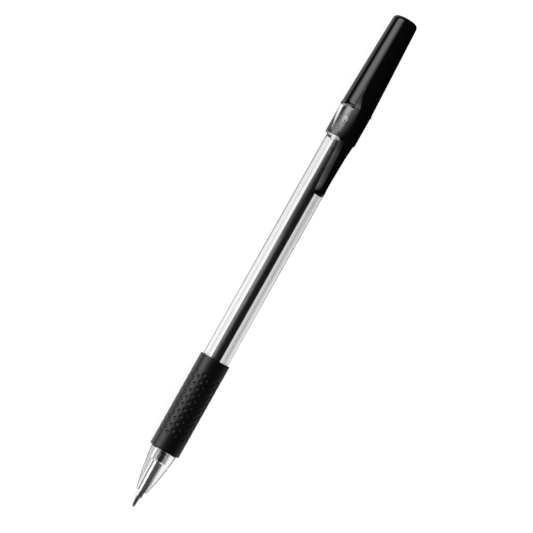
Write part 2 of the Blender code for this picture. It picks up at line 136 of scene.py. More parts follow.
BALL_PLACE = CONE_FRONT - BALL_PROUD + BALL_R
NOSE_END = NOSE_FRONT + NOSE_LENGTH
BARREL_BORE_R = BARREL_R - BARREL_WALL
NECK_R = BARREL_R - NECK_STEP
NECK_BORE_R = NECK_R - NECK_WALL
NECK_END = GRIP_END + FACE_GAP
PLUG_HEAD = PLUG_END - PLUG_HEAD_LENGTH
CAP_STOP = CAP_MOUTH + COLLAR_DEPTH
COLLAR_END = CAP_MOUTH + COLLAR_LENGTH
TAPER_FRONT = LIP_FRONT + LIP_WIDTH + LIP_FADE
TAPER_END = CAP_END - CAP_END_ROUNDING
CAP_DRAFT = (CAP_MOUTH_R - CAP_END_R) / (TAPER_END - TAPER_FRONT)
ROOT_END = LIP_FRONT + CLIP_ROOT_LENGTH

# Pieces in contact sink this far into the clear piece round them, so that no film of air is seen
WETTED = 0.004

# Facets round a turned piece, the least angle of a sharp edge, and the least distance between points
# and the least length of an edge that are kept
SIDES = 192
SHARP = math.radians(30)
MERGED = 0.0005
DEGENERATE = 0.0002


# Node graphs

class Wire:
    """A node's output that can stand in sums and products with numbers and other wires."""

    def __init__(self, graph, socket):
        self.graph = graph
        self.socket = socket

    def maths(self, operation, *values):
        """The result of a Math node on its values."""
        return self.graph.node("ShaderNodeMath", {"operation": operation}, dict(enumerate(values)))

    def __add__(self, other):
        return self.maths("ADD", self, other)

    def __sub__(self, other):
        return self.maths("SUBTRACT", self, other)

    def __rsub__(self, other):
        return self.maths("SUBTRACT", other, self)

    def __mul__(self, other):
        return self.maths("MULTIPLY", self, other)

    def __abs__(self):
        return self.maths("ABSOLUTE", self)

    __radd__ = __add__
    __rmul__ = __mul__

    def rise(self, start, end):
        """0 before start and 1 after end, eased in between."""
        inputs = {"Value": self, "From Min": start, "From Max": end}
        return self.graph.node("ShaderNodeMapRange", {"interpolation_type": "SMOOTHSTEP"}, inputs)


class Graph:
    """The node tree of a material or of the world, which starts empty."""

    def __init__(self, owner):
        owner.use_nodes = True
        self.tree = owner.node_tree
        self.tree.nodes.clear()

    def node(self, kind, settings=None, inputs=None, output=0):
        """A new node, its settings made first and then its inputs, as a wire from one of its outputs."""
        made = self.tree.nodes.new(kind)
        for key, value in (settings or {}).items():
            setattr(made, key, value)
        for key, value in (inputs or {}).items():
            if isinstance(value, Wire):
                self.tree.links.new(value.socket, made.inputs[key])
            else:
                made.inputs[key].default_value = value
        return Wire(self, made.outputs[output]) if made.outputs else None

    def place(self, stretch):
        """The point on the piece, its metres multiplied by a stretch for each axis."""
        point = self.node("ShaderNodeTexCoord", output="Object")
        return self.node("ShaderNodeVectorMath", {"operation": "MULTIPLY"}, {0: point, 1: stretch})

    def noise(self, scale, along=1, across=1, detail=3.0):
        """Noise of so many cells to a metre, drawn out along or across the pen by a share below 1."""
        inputs = {"Vector": self.place((along, across, across)), "Scale": scale, "Detail": detail}
        return self.node("ShaderNodeTexNoise", inputs=inputs)

    def bump(self, relief, millimetres):
        """A relief as high as so many millimetres."""
        return self.node("ShaderNodeBump", inputs={"Height": relief, "Distance": millimetres * MM})

    def mix(self, share, first, second):
        """A colour between two colours."""
        inputs = {"Factor": share}
        for socket, colour in ((6, first), (7, second)):
            inputs[socket] = colour if isinstance(colour, Wire) else (*colour, 1.0)
        return self.node("ShaderNodeMix", {"data_type": "RGBA"}, inputs, output=2)

    def surface(self, shader):
        """The material's surface, from a shader."""
        self.node("ShaderNodeOutputMaterial", inputs={"Surface": shader})

    def principled(self, inputs):
        """The material's surface, from the inputs of Blender's main shader."""
        self.surface(self.node("ShaderNodeBsdfPrincipled", inputs=inputs))


def material(name):
    """A new material and its empty graph."""
    made = bpy.data.materials.new(name)
    return made, Graph(made)


def grey(value):
    """A neutral colour."""
    return value, value, value, 1.0


# Finishes

# A finish of two shades runs from the darker to the lighter
STYRENE_IOR = 1.56
STYRENE_HAZE = 0.01
NOSE_TINT = (0.95, 0.955, 0.955)
BARREL_TINT = (0.94, 0.945, 0.945)
COLLAR_TINT = (0.98, 0.985, 0.985)
TUBE_IOR = 1.49
TUBE_ROUGHNESS = 0.275
TUBE_SHADES = (0.80, 0.80, 0.80), (0.88, 0.88, 0.88)
INK_ROUGHNESS = 0.20
INK_SHADES = (0.0040, 0.0040, 0.0055), (0.0075, 0.0075, 0.0095)
BLACK_IOR = 1.50
BLACK_SHADES = (0.0008, 0.0008, 0.0010), (0.0016, 0.0016, 0.0018)
RUBBER_ROUGHNESS = 0.31
RUBBER_SHADES = (0.0025, 0.0025, 0.0028), (0.0040, 0.0040, 0.0044)
BALL_STEEL = (0.30, 0.30, 0.31), (0.40, 0.40, 0.41)
NICKEL_SILVER = (0.70, 0.67, 0.62), (0.80, 0.78, 0.74)
INKED_METAL = (0.004, 0.004, 0.005)


def clear_styrene(name, tint, waviness):
    """Clear moulded styrene: flow lines along the pen in its surface and a little uneven haze."""
    made, graph = material(name)
    flow = graph.noise(1600, along=0.03, detail=2.0)
    ripple = graph.noise(260, along=0.25, detail=2.0)
    graph.principled({
        "Base Color": graph.mix(graph.noise(90), [c * 0.99 for c in tint], tint),
        "Roughness": graph.noise(500, along=0.2) * STYRENE_HAZE,
        "IOR": STYRENE_IOR,
        "Transmission Weight": 1.0,
        "Normal": graph.bump(flow * 0.3 + ripple, millimetres=waviness),
    })
    return made


def black_moulding(name, roughness):
    """Black moulding with a faint orange peel and fine handling marks."""
    made, graph = material(name)
    marks = graph.noise(1500, along=0.12, detail=4.0).rise(0.55, 0.75)
    peel = graph.noise(700, detail=2.0)
    graph.principled({
        "Base Color": graph.mix(graph.noise(300), *BLACK_SHADES),
        "Roughness": graph.noise(400, along=0.3) * 0.05 + marks * 0.03 + roughness,
        "IOR": BLACK_IOR,
        "Normal": graph.bump(peel, millimetres=0.0035),
    })
    return made


def grip_rubber():
    """Soft black rubber: fine grain, slightly polished where it is held."""
    made, graph = material("grip_rubber")
    grain = graph.noise(5200, detail=4.0)
    wear = graph.noise(220, along=0.5, detail=2.0)
    graph.principled({
        "Base Color": graph.mix(wear, *RUBBER_SHADES),
        "Roughness": wear * 0.08 + RUBBER_ROUGHNESS,
        "IOR": BLACK_IOR,
        "Normal": graph.bump(grain, millimetres=0.012),
    })
    return made


def turned_metal(name, shades, roughness, inked_from):
    """Turned metal with fine tool rings round its axis, black with ink behind a place along the pen."""
    made, graph = material(name)
    ink_edge = 0.1
    rings = graph.noise(9000, across=0.01)
    along = graph.node("ShaderNodeSeparateXYZ", inputs={0: graph.place((1 / MM, 1, 1))})
    inked = along.rise(inked_from - ink_edge, inked_from + ink_edge)
    graph.principled({
        "Base Color": graph.mix(inked, graph.mix(rings, *shades), INKED_METAL),
        "Roughness": rings * 0.08 + roughness,
        "Metallic": 1 - inked,
        "Normal": graph.bump(rings, millimetres=0.004),
    })
    return made


def tube_plastic():
    """The refill's hazy tube."""
    made, graph = material("tube_plastic")
    graph.principled({
        "Base Color": graph.mix(graph.noise(400, along=0.1), *TUBE_SHADES),
        "Roughness": graph.noise(900, along=0.1) * 0.02 + TUBE_ROUGHNESS,
        "IOR": TUBE_IOR,
        "Transmission Weight": 1.0,
    })
    return made


def ink_paste():
    """Black ink paste with streaks where it has crept. It has no shine of its own against the tube."""
    made, graph = material("ink_paste")
    streaks = graph.noise(500, along=0.05)
    graph.principled({
        "Base Color": graph.mix(streaks, *INK_SHADES),
        "Roughness": streaks * 0.10 + INK_ROUGHNESS,
        "Specular IOR Level": 0.0,
        "Normal": graph.bump(streaks, millimetres=0.01),
    })
    return made


# Shapes

def arc(centre_x, centre_r, size, start, end, steps=6):
    """Points (x, r) on an arc, its angles in degrees from +x towards +r."""
    angles = np.radians(np.linspace(start, end, steps + 1))
    return [(centre_x + size * math.cos(a), centre_r + size * math.sin(a)) for a in angles]


def bowed(start, end, bow, steps):
    """Points of a shallow bulge between two points (x, r)."""
    points = []
    for f in np.linspace(0, 1, steps + 1):
        x, r = np.multiply(start, 1 - f) + np.multiply(end, f)
        points.append((x, r + 4 * bow * f * (1 - f)))
    return points


def between(knots, x, blur):
    """A value at x on straight lines between knots (place, value), with its corners blurred."""
    places, values = zip(*knots)
    samples = x + blur * np.linspace(-1, 1, 15)
    return float(np.interp(samples, places, values).mean())


def grid_mesh(name, rings, wrap=True):
    """A mesh from closed rings of points (metres), each joined to the next, and with wrap the last to
    the first."""
    count, around = len(rings), len(rings[0])
    points = np.array(rings, float).reshape(-1, 3)
    here = np.arange(count if wrap else count - 1)[:, None]
    across = np.arange(around)[None, :]
    first = here * around
    second = (here + 1) % count * around
    onward = (across + 1) % around
    corners = (first + across, second + across, second + onward, first + onward)
    faces = np.stack(np.broadcast_arrays(*corners), -1).reshape(-1, 4)
    mesh = bpy.data.meshes.new(name)
    mesh.from_pydata(points.tolist(), [], faces.tolist())
    return mesh


def finished(name, mesh, finish, sharp=SHARP):
    """An object from a mesh: doubles merged, faces turned outward, smooth up to its sharp edges."""
    bm = bmesh.new()
    bm.from_mesh(mesh)
    bmesh.ops.remove_doubles(bm, verts=bm.verts, dist=MERGED * MM)
    bmesh.ops.dissolve_degenerate(bm, edges=bm.edges, dist=DEGENERATE * MM)
    bmesh.ops.recalc_face_normals(bm, faces=bm.faces)
    bm.to_mesh(mesh)
    bm.free()
    mesh.materials.append(finish)
    mesh.shade_smooth()
    mesh.set_sharp_from_angle(angle=sharp)
    obj = bpy.data.objects.new(name, mesh)
    bpy.context.scene.collection.objects.link(obj)
    return obj


def on_axis(x, r, angle):
    """A point of the pen at a place, a radius and an angle from straight up."""
    return x * MM, r * math.sin(angle) * MM, (AXIS_HEIGHT + r * math.cos(angle)) * MM


def turned(name, outline, finish, sides=SIDES, wrap=True):
    """A turned piece from its outline (x, r), which closes on itself unless it ends on the axis."""
    angles = np.linspace(0, 2 * math.pi, sides, endpoint=False)
    rings = [[on_axis(x, r, angle) for angle in angles] for x, r in outline]
    return finished(name, grid_mesh(name, rings, wrap), finish)


def fitted(piece, body, node):
    """The piece stands for a node, whose part it hides, and moves with its body."""
    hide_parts(node)
    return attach(piece, body)


# Pieces of the refill

def make_ball(finish):
    """The writing ball, a turned half circle."""
    outline = arc(BALL_PLACE, 0, BALL_R, 0, 180, 47)
    ball = turned("tip_ball_polished", outline, finish, sides=64, wrap=False)
    fitted(ball, "ball", "tip_ball")


def make_point(finish):
    """The metal point: rolled lip over the ball, long cone, shoulder, shank and the tail in the tube."""
    bevel = 0.06
    tail_bevel, tail_taper = 0.15, 0.4
    shoulder_rounding = 0.12
    shoulder_foot, shoulder_foot_r = 0.1, 0.80
    cone_rear_r = 0.73
    cone_front, cone_front_r = 0.42, 0.475
    rolled_front, rolled_rear, rolled_r = 0.30, 0.38, 0.455
    lip_place, lip_r, lip_rounding, lip_bore_r = 0.05, 0.405, 0.045, 0.38
    socket_gap, socket_depth = 0.03, 0.35
    capillary_r, widening = 0.18, 0.5
    shank_end = CONE_FRONT + SHANK_END
    shoulder = CONE_FRONT + POINT_SHOULDER
    cone_end = CONE_FRONT + CONE_END
    outline = [(TAIL_END, INK_R - tail_bevel), (TAIL_END - tail_taper, INK_R)]
    outline += [(shank_end, INK_R), (shank_end, SHANK_R - bevel), (shank_end - bevel, SHANK_R)]
    rounding_r = SHANK_R - shoulder_rounding
    outline += arc(shoulder + shoulder_rounding, rounding_r, shoulder_rounding, 90, 165, 5)
    outline += [(cone_end + shoulder_foot, shoulder_foot_r), (cone_end, cone_rear_r)]
    outline += [(CONE_FRONT + cone_front, cone_front_r)]
    outline += [(CONE_FRONT + rolled_rear, rolled_r), (CONE_FRONT + rolled_front, rolled_r)]
    outline += arc(CONE_FRONT + lip_place, lip_r, lip_rounding, 90, 180, 4)
    outline += [(CONE_FRONT, lip_bore_r), (BALL_PLACE, BALL_R + socket_gap)]
    outline += [(BALL_PLACE + socket_depth, capillary_r), (shoulder, capillary_r)]
    outline += [(shoulder + widening, CHANNEL_R), (TAIL_END, CHANNEL_R)]
    point = turned("point_body_turned", outline, finish, sides=96)
    fitted(point, "pen_body", "point_body")


def make_tube(finish):
    """The refill's tube, bevelled outside at both ends."""
    bevel = 0.08
    bore_r = TUBE_BORE_R - WETTED
    outline = [(TUBE_END, TUBE_R - bevel), (TUBE_END - bevel, TUBE_R), (TUBE_FRONT + bevel, TUBE_R)]
    outline += [(TUBE_FRONT, TUBE_R - bevel), (TUBE_FRONT, bore_r), (TUBE_END, bore_r)]
    tube = turned("ink_tube_hazy", outline, finish, sides=128)
    fitted(tube, "pen_body", "ink_tube")


def make_ink(finish):
    """The ink, with a hollow meniscus at its open end."""
    hollow = 0.5
    outline = []
    for r in np.linspace(0, TUBE_BORE_R, 9):
        outline.append((INK_END - hollow * (1 - (r / TUBE_BORE_R) ** 2), r))
    outline += [(INK_FRONT, TUBE_BORE_R), (INK_FRONT, 0)]
    ink = turned("ink_column_wet", outline, finish, sides=96, wrap=False)
    fitted(ink, "pen_body", "ink_column")


# Clear pieces, plug and grip

def make_nose(finish):
    """The clear cone: slightly bowed, bored for the point, with its spigot in the barrel's neck."""
    edge = 0.15
    lip_rounding, lip_inset = 0.10, 0.08
    bore_bevel = 0.05
    bore_widens, bore_widened = TUBE_FRONT - 0.5, TUBE_FRONT - 0.2
    rear = NOSE_END - 2 * edge, NOSE_REAR_R - 0.01
    front = NOSE_FRONT + edge, NOSE_FRONT_R + edge / 3
    outline = [(SPIGOT_END, SPIGOT_R - edge), (SPIGOT_END - edge, SPIGOT_R), (NOSE_END, SPIGOT_R)]
    outline += arc(NOSE_END - edge, NOSE_REAR_R - edge, edge, 0, 90)
    outline += bowed(rear, front, NOSE_BOW, steps=40)
    outline += arc(NOSE_FRONT + lip_rounding, NOSE_FRONT_R - lip_inset, lip_rounding, 90, 180, 4)
    outline += [(NOSE_FRONT, POINT_BORE_R + bore_bevel), (NOSE_FRONT + bore_bevel, POINT_BORE_R)]
    outline += [(bore_widens, POINT_BORE_R), (bore_widened, SPIGOT_BORE_R), (SPIGOT_END, SPIGOT_BORE_R)]
    fitted(turned("nose_cone_clear", outline, finish), "pen_body", "nose_cone")


def make_barrel(finish):
    """The clear barrel: its neck in front, the conical change of bore and the plug's seat behind."""
    edge = 0.12
    bore_opens, bore_open = NECK_END + 0.5, NECK_END + 2.5
    seat_front, seat = PLUG_FRONT + 0.3, PLUG_FRONT + 0.5
    snug = PLUG_SPIGOT_R - WETTED
    outline = arc(BARREL_END - edge, BARREL_R - edge, edge, 0, 90)
    outline += arc(NECK_END + edge, BARREL_R - edge, edge, 90, 180)
    outline += [(NECK_END, NECK_R), (NECK_FRONT + edge, NECK_R), (NECK_FRONT, NECK_R - edge)]
    outline += [(NECK_FRONT, NECK_BORE_R), (bore_opens, NECK_BORE_R), (bore_open, BARREL_BORE_R)]
    outline += [(seat_front, BARREL_BORE_R), (seat, snug), (BARREL_END, snug)]
    fitted(turned("barrel_clear", outline, finish), "pen_body", "barrel")


def make_collar(finish):
    """The clear liner: a collar with a lead-in for the barrel, the stop, and a sleeve in the shell."""
    chamfer = 0.35
    lead = 0.22
    flange, flange_slope = 0.6, 0.4
    end_thickening = 0.15
    bore_r = LINER_R - LINER_WALL
    end_r = LINER_R - CAP_DRAFT * (LINER_END - LIP_FRONT)
    end_bore_r = end_r - LINER_WALL + end_thickening
    outline = [(LINER_END, end_r), (COLLAR_END + flange + flange_slope, LINER_R)]
    outline += [(COLLAR_END + flange, SEAT_R), (COLLAR_END, SEAT_R), (COLLAR_END, COLLAR_R)]
    outline += arc(CAP_MOUTH + chamfer, COLLAR_R - chamfer, chamfer, 90, 180, 8)
    outline += [(CAP_MOUTH, COLLAR_BORE_R + lead), (CAP_MOUTH + 2 * lead, COLLAR_BORE_R)]
    outline += [(CAP_STOP, COLLAR_BORE_R), (CAP_STOP, bore_r), (LINER_END, end_bore_r)]
    fitted(turned("cap_liner_clear", outline, finish), "cap", "cap_liner")


def make_plug(finish):
    """The rear plug: spigot, head, the socket that holds the tube's end, and the air vent."""
    rounding = 0.3
    socket_r = TUBE_R + PLUG_SOCKET_GAP
    socket_end = PLUG_FRONT + PLUG_SOCKET_DEPTH
    outline = [(PLUG_END, VENT_R)]
    outline += arc(PLUG_END - rounding, BARREL_R - rounding, rounding, 0, 90)
    outline += [(PLUG_HEAD, BARREL_R), (PLUG_HEAD, PLUG_SPIGOT_R)]
    outline += [(PLUG_FRONT + rounding, PLUG_SPIGOT_R), (PLUG_FRONT, PLUG_SPIGOT_R - rounding)]
    outline += [(PLUG_FRONT, socket_r), (socket_end, socket_r), (socket_end, VENT_R)]
    plug = turned("rear_plug_black", outline, finish, sides=128)
    fitted(plug, "pen_body", "rear_plug")


GRIP_SHARP = math.radians(60)
DIMPLE_COLUMNS = 22
DIMPLE_ROWS = 9
DIMPLE_PITCH = 2.26
DIMPLE_R = 0.56
DIMPLE_DEPTH = 0.17
DIMPLE_WALL_SHARE = 0.5
DIMPLE_DOT_R = 0.24
DIMPLE_DOT_HEIGHT = 0.8


def dimple_depth(x, angle):
    """How deep the grip's surface lies in a dimple, over arrays of places and angles."""
    column = 2 * math.pi / DIMPLE_COLUMNS
    nearest = np.floor(angle / column)
    stagger = (0.5 - nearest % 2) * DIMPLE_PITCH / 2
    middle = (GRIP_FRONT + GRIP_END) / 2
    half = (DIMPLE_ROWS - 1) / 2 * DIMPLE_PITCH
    along = x - middle + half - stagger
    row = np.clip(np.round(along / DIMPLE_PITCH), 0, DIMPLE_ROWS - 1)
    away = np.hypot(along - row * DIMPLE_PITCH, (angle - (nearest + 0.5) * column) * GRIP_R)
    wall = np.clip((DIMPLE_R - away) / (DIMPLE_WALL_SHARE * DIMPLE_R), 0, 1)
    dot = np.clip(1 - away / DIMPLE_DOT_R, 0, 1)
    return DIMPLE_DEPTH * wall * wall * (3 - 2 * wall) * (1 - DIMPLE_DOT_HEIGHT * dot)


def make_grip(finish):
    """The rubber sleeve with staggered columns of small dimples, each with a raised dot in it."""
    rounding = 0.30
    around, along = 252, 232
    angles = np.linspace(0, 2 * math.pi, around, endpoint=False)
    ends = arc(GRIP_END - rounding, GRIP_R - rounding, rounding, 0, 90, 5)
    fronts = arc(GRIP_FRONT + rounding, GRIP_R - rounding, rounding, 90, 180, 5)
    places = np.linspace(GRIP_END - 2 * rounding, GRIP_FRONT + 2 * rounding, along)
    middle = [(x, GRIP_R) for x in places]
    outline = [(GRIP_END, GRIP_BORE_R), *ends, *middle, *fronts, (GRIP_FRONT, GRIP_BORE_R)]
    rings = []
    for x, r in outline:
        deep = dimple_depth(x, angles) if r == GRIP_R else 0 * angles
        rings.append([on_axis(x, r - d, a) for d, a in zip(deep, angles)])
    grip = finished("grip_sleeve_dimpled", grid_mesh("grip", rings), finish, GRIP_SHARP)
    fitted(grip, "pen_body", "grip_sleeve")


# The clip

# Angles round it are in degrees from straight up, and its two halves are alike
CLIP_HEIGHT = 0.92
CLIP_LIFT = 0.30
CLIP_PLATE = 0.62
CLIP_HOLLOW = 0.25
CLIP_TIP_LENGTH = 1.3
CLIP_RIDGE_R = COLLAR_R + CLIP_HEIGHT
CLIP_STEP = CAP_MOUTH - CLIP_LIFT
CLIP_STEP_FRONT = CLIP_STEP - CLIP_LIFT / 2
CLIP_STEP_END = CLIP_STEP + CLIP_LIFT
CLIP_RAMP_FRONT = CLIP_STEP - 3.75
CLIP_BEAD = CLIP_TIP + 2.2
BEAD_HALF = 0.6
BEAD_SLOPE = 1.2
BEAD_LEAD = 0.3
CLIP_SHARP = math.radians(50)

# How far the skirt's edge and the ridge turn from the top, at five places from tip to root
CLIP_STATIONS = (CLIP_TIP, CLIP_TIP + 7.0, CLIP_STEP_FRONT, CLIP_STEP_END, LIP_FRONT)
SKIRT_ANGLES = (23, 26.5, 33, 39.8, 40.6)
RIDGE_ANGLES = (7.5, 8.2, 14.4, 15.2, 22.0)

# Pairs of a place and how far the skirt's edge stands over the barrel there, or how far the ridge
# drops below its greatest radius
SKIRT_HEIGHTS = ((CLIP_TIP, 1.05), (CLIP_TIP + 3.5, 0.68), (CLIP_RAMP_FRONT, 0.72))
RIDGE_DROPS = ((CLIP_TIP, 0), (CLIP_RAMP_FRONT, 0.13), (CAP_MOUTH + 1.5, 0.04), (LIP_FRONT, 0.10))
SKIRT_DIP = 0.12
SKIRT_EDGE_WIDTH = 0.32
SKIRT_EDGE_SLOPE = 0.12
SKIRT_EDGE_CUT = 0.05

# The crown rises over the ridge by a share of what a circle round the pen's axis would, and its
# shoulder lies at shares of its half width and height
CROWN_SHARE = 0.49
SHOULDER_PLACE = 0.58
SHOULDER_HEIGHT = 0.8
SHOULDER_CUT = 0.2
RIDGE_CUT = 0.09
FLANK_BULGE = 0.03
FLANK_REACH = 0.46

# The underside is an arch between the skirt's edges, a little more pointed than an ellipse
HOLLOW_START = 82
HOLLOW_POWER = 1.4

# The tip narrows and lowers like a fingernail over a quarter turn that starts a little past its front
TIP_START = 6
TIP_NARROWEST = 0.42
TIP_POWER = 0.8
TIP_DROP = 0.45


def polar(r, degrees):
    """The point (y, z) at a radius from the pen's axis and an angle from straight up."""
    angle = math.radians(degrees)
    return Vector((r * math.sin(angle), r * math.cos(angle)))


def rounded(corners, steps=7):
    """A line past corners (point, cut), each cut back by that length and rounded."""
    line = []
    for i, (corner, cut) in enumerate(corners):
        if cut == 0:
            line.append(corner)
            continue
        start = corner + (corners[i - 1][0] - corner).normalized() * cut
        end = corner + (corners[i + 1][0] - corner).normalized() * cut
        for f in np.linspace(0, 1, steps + 1):
            line.append(start * (1 - f) ** 2 + corner * (2 * f * (1 - f)) + end * f ** 2)
    return line


def clip_sizes(x):
    """Skirt edge, ridge and underside height of the clip at a place x."""
    over_barrel = BARREL_R + CLIP_LIFT
    over_collar = COLLAR_R + CLIP_LIFT
    hollow = CLIP_RIDGE_R - CLIP_PLATE - CLIP_HOLLOW
    edge_r = [(place, BARREL_R + height) for place, height in SKIRT_HEIGHTS]
    edge_r += [(CLIP_STEP_FRONT, over_collar - SKIRT_DIP), (CLIP_STEP_END, over_collar)]
    ridge_r = [(place, CLIP_RIDGE_R - drop) for place, drop in RIDGE_DROPS]
    under = [(CLIP_TIP, over_barrel + BEAD_LEAD), (CLIP_BEAD - BEAD_HALF, over_barrel)]
    under += [(CLIP_BEAD + BEAD_HALF, over_barrel), (CLIP_BEAD + BEAD_HALF + BEAD_SLOPE, hollow)]
    under += [(CLIP_RAMP_FRONT, hollow), (CLIP_STEP_FRONT, over_collar)]
    edge_angle = between(list(zip(CLIP_STATIONS, SKIRT_ANGLES)), x, blur=0.15)
    ridge_angle = between(list(zip(CLIP_STATIONS, RIDGE_ANGLES)), x, blur=2.0)
    edge = polar(between(edge_r, x, blur=0.05), edge_angle)
    ridge = polar(between(ridge_r, x, blur=1.0), ridge_angle)
    return edge, ridge, between(under, x, blur=0.1)


def outer_corners(edge, ridge):
    """Corners of the clip's outer half line: crowned top, shoulder, ridge and slightly crowned flank."""
    crown = CROWN_SHARE * (ridge.length - ridge.y)
    flank = edge - ridge
    outward = Vector((-flank.y, flank.x)).normalized()
    pull = (edge + ridge) / 2 + outward * FLANK_BULGE
    reach = FLANK_REACH * min((ridge - pull).length, (edge - pull).length)
    top = Vector((0, ridge.y + crown))
    shoulder = Vector((ridge.x * SHOULDER_PLACE, ridge.y + crown * SHOULDER_HEIGHT))
    return [(top, 0), (shoulder, ridge.x * SHOULDER_CUT), (ridge, RIDGE_CUT), (pull, reach)]


def clip_ring(x, narrowing=1.0, lowering=0.0):
    """Closed outline of the clip at x, left and right halves, as points of the pen."""
    edge, ridge, under = clip_sizes(x)
    inner = Vector((edge.x - SKIRT_EDGE_WIDTH, 0))
    inner.y = math.sqrt((edge.length - SKIRT_EDGE_SLOPE) ** 2 - inner.x ** 2)
    wide = rounded([*outer_corners(edge, ridge), (edge, SKIRT_EDGE_CUT), (inner, 0)])
    for turn in np.radians(np.linspace(HOLLOW_START, 0, 12)):
        across, upward = math.sin(turn) ** HOLLOW_POWER, math.cos(turn) ** HOLLOW_POWER
        wide.append(Vector((inner.x * across, inner.y + (under - inner.y) * upward)))
    half = []
    for p in wide:
        raised = max(0, p.y - under) / (ridge.y - under)
        half.append(Vector((p.x * narrowing, p.y - lowering * raised)))
    whole = half + [Vector((-p.x, p.y)) for p in reversed(half[1:-1])]
    return [(x * MM, p.x * MM, (AXIS_HEIGHT + p.y) * MM) for p in whole]


def make_clip(finish):
    """The pocket clip, lofted from its tip to its root at the cap's lip."""
    rings = []
    for turn in np.radians(np.linspace(TIP_START, 90, 12)):
        x = CLIP_TIP + CLIP_TIP_LENGTH * (1 - math.cos(turn))
        narrowing = TIP_NARROWEST + (1 - TIP_NARROWEST) * math.sin(turn) ** TIP_POWER
        rings.append(clip_ring(x, narrowing, TIP_DROP * math.cos(turn) ** 2))
    barrel_places = np.linspace(CLIP_TIP + CLIP_TIP_LENGTH, CLIP_STEP - 0.5, 60)[1:]
    step_places = np.linspace(CLIP_STEP - 0.4, CLIP_STEP + 0.4, 17)
    collar_places = np.linspace(CLIP_STEP + 0.6, LIP_FRONT, 50)
    rings += [clip_ring(x) for x in (*barrel_places, *step_places, *collar_places)]
    mesh = grid_mesh("pocket_clip", rings, wrap=False)
    bm = bmesh.new()
    bm.from_mesh(mesh)
    bmesh.ops.holes_fill(bm, edges=bm.edges, sides=0)
    bm.to_mesh(mesh)
    bm.free()
    clip = finished("pocket_clip_gloss", mesh, finish, CLIP_SHARP)
    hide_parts("pocket_clip")
    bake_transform(clip)


# The cap's shell and the clip's root on it

ROOT_SECTOR = 42
ROOT_BLEND = 0.04
ROOT_EDGE_POWER = 1.6
ROOT_RIDGE_POWER = 2.4
ROOT_NARROWING = 0.85
ROOT_SIDES = 169
SHELL_SIDES = 185


def shell_radius(x):
    """Outer radius of the cap's shell: a beaded lip that fades into a straight draft."""
    if x <= LIP_FRONT + LIP_WIDTH:
        return LIP_R
    if x <= TAPER_FRONT:
        left = (TAPER_FRONT - x) / LIP_FADE
        return CAP_MOUTH_R + (LIP_R - CAP_MOUTH_R) * left ** 3
    return CAP_MOUTH_R - CAP_DRAFT * (x - TAPER_FRONT)


def root_radius(x, angles):
    """Radius of the clip's root on the shell at a place, over an array of angles from straight up."""
    f = max(0.0, (x - LIP_FRONT) / CLIP_ROOT_LENGTH)
    left = max(0, 1 - f)
    surface = shell_radius(x)
    edge, ridge, _ = clip_sizes(LIP_FRONT)
    edge_angle = SKIRT_ANGLES[-1]
    ridge_angle = math.degrees(math.atan2(ridge.x, ridge.y))
    edge = polar(surface + (edge.length - surface) * left ** ROOT_EDGE_POWER, edge_angle)
    ridge_r = surface + (ridge.length - surface) * left ** ROOT_RIDGE_POWER
    ridge = polar(ridge_r, ridge_angle + (edge_angle - ridge_angle) * f * ROOT_NARROWING)
    line = rounded([*outer_corners(edge, ridge), (edge, 0)])
    line_angles = [math.atan2(p.x, p.y) for p in line]
    return np.interp(np.abs(angles), line_angles, [p.length for p in line], right=0.0)


def softly_over(base, raised):
    """The larger of two radii, with the crossing of their surfaces rounded."""
    gap = raised - base
    tail = ROOT_BLEND * np.exp(-(gap / ROOT_BLEND) ** 2 / 4)
    return np.maximum(base + 0.5 * (gap + np.sqrt(gap ** 2 + ROOT_BLEND ** 2) - tail), base)


